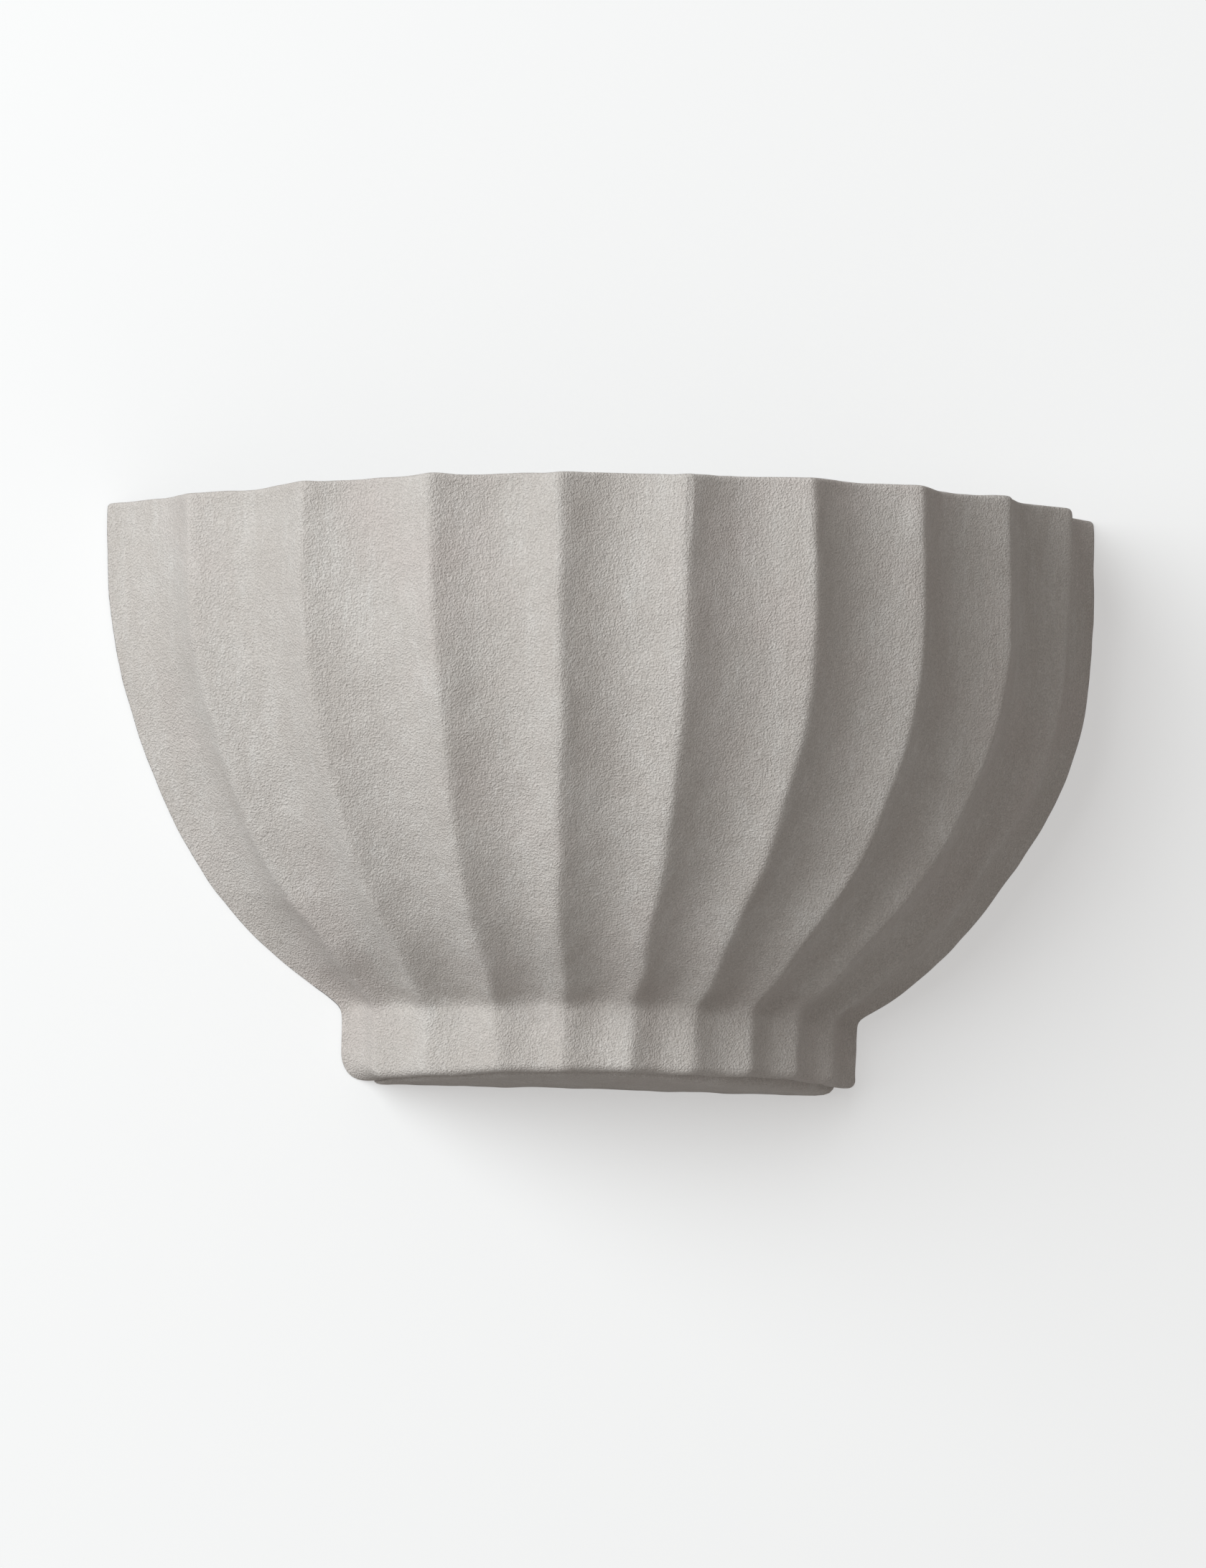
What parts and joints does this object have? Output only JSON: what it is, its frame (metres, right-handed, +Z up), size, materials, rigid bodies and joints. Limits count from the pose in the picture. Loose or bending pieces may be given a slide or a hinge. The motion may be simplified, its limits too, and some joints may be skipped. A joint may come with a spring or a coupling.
{
  "type": "wall sconce",
  "caption": "Fluted half-bowl wall uplight: a matte cast shell with a short foot, open at the top, hung by hangers on a steel wall bracket with a screw lampholder.",
  "frame": {"origin": "middle of the two wall screw slots, on the wall plane", "axes": "+X to the viewer's right along the wall, +Y into the wall, +Z up; the light stands out along -Y"},
  "size_m": [0.4064, 0.1455, 0.2342],
  "materials": {
    "cast_plaster": "matte",
    "zinc_steel": "satin",
    "bracket_white": "satin",
    "screw_steel": "satin",
    "brass": "satin",
    "black_nylon": "matte",
    "white_nylon": "satin",
    "porcelain": "gloss",
    "cap_nickel": "satin",
    "bulb_white": "satin",
    "board": "satin",
    "opal": "satin",
    "lead_black": "satin",
    "lead_white": "satin",
    "lead_green": "satin"
  },
  "bodies": {
    "wall_mount": {"wall_bracket": "bracket_white", "cable_bush": "black_nylon", "terminal_block": "white_nylon", "terminal_clamps": "brass", "terminal_screws": "screw_steel", "terminal_fixings": "screw_steel", "earth_stud": "screw_steel", "earth_ring": "brass", "earth_washer": "zinc_steel", "earth_nut": "brass", "lamp_bracket": "bracket_white", "lamp_bracket_screws": "screw_steel", "lampholder_body": "porcelain", "lampholder_sleeve": "brass", "lampholder_contact": "brass", "lampholder_nipple": "zinc_steel", "lampholder_nut": "zinc_steel", "line_lead": "lead_black", "neutral_lead": "lead_white", "earth_lead": "lead_green"},
    "bulb": {"bulb_contact": "screw_steel", "bulb_insulator": "black_nylon", "bulb_cap": "cap_nickel", "bulb_housing": "bulb_white", "bulb_led_board": "board", "bulb_driver_board": "board", "bulb_globe": "opal"},
    "shell": {"fluted_shell": "cast_plaster", "hanger_left": "zinc_steel", "hanger_right": "zinc_steel", "hanger_screws": "screw_steel", "shell_inserts": "brass"}
  },
  "joints": [
    {"name": "shell_lift", "type": "slide", "parent": "wall_mount", "child": "shell", "axis": [0, 0, 1], "range_m": [0, 0.012]},
    {"name": "bulb_unscrew", "type": "slide", "parent": "wall_mount", "child": "bulb", "axis": [0, 0, 1], "range_m": [0, 0.026]}
  ]
}
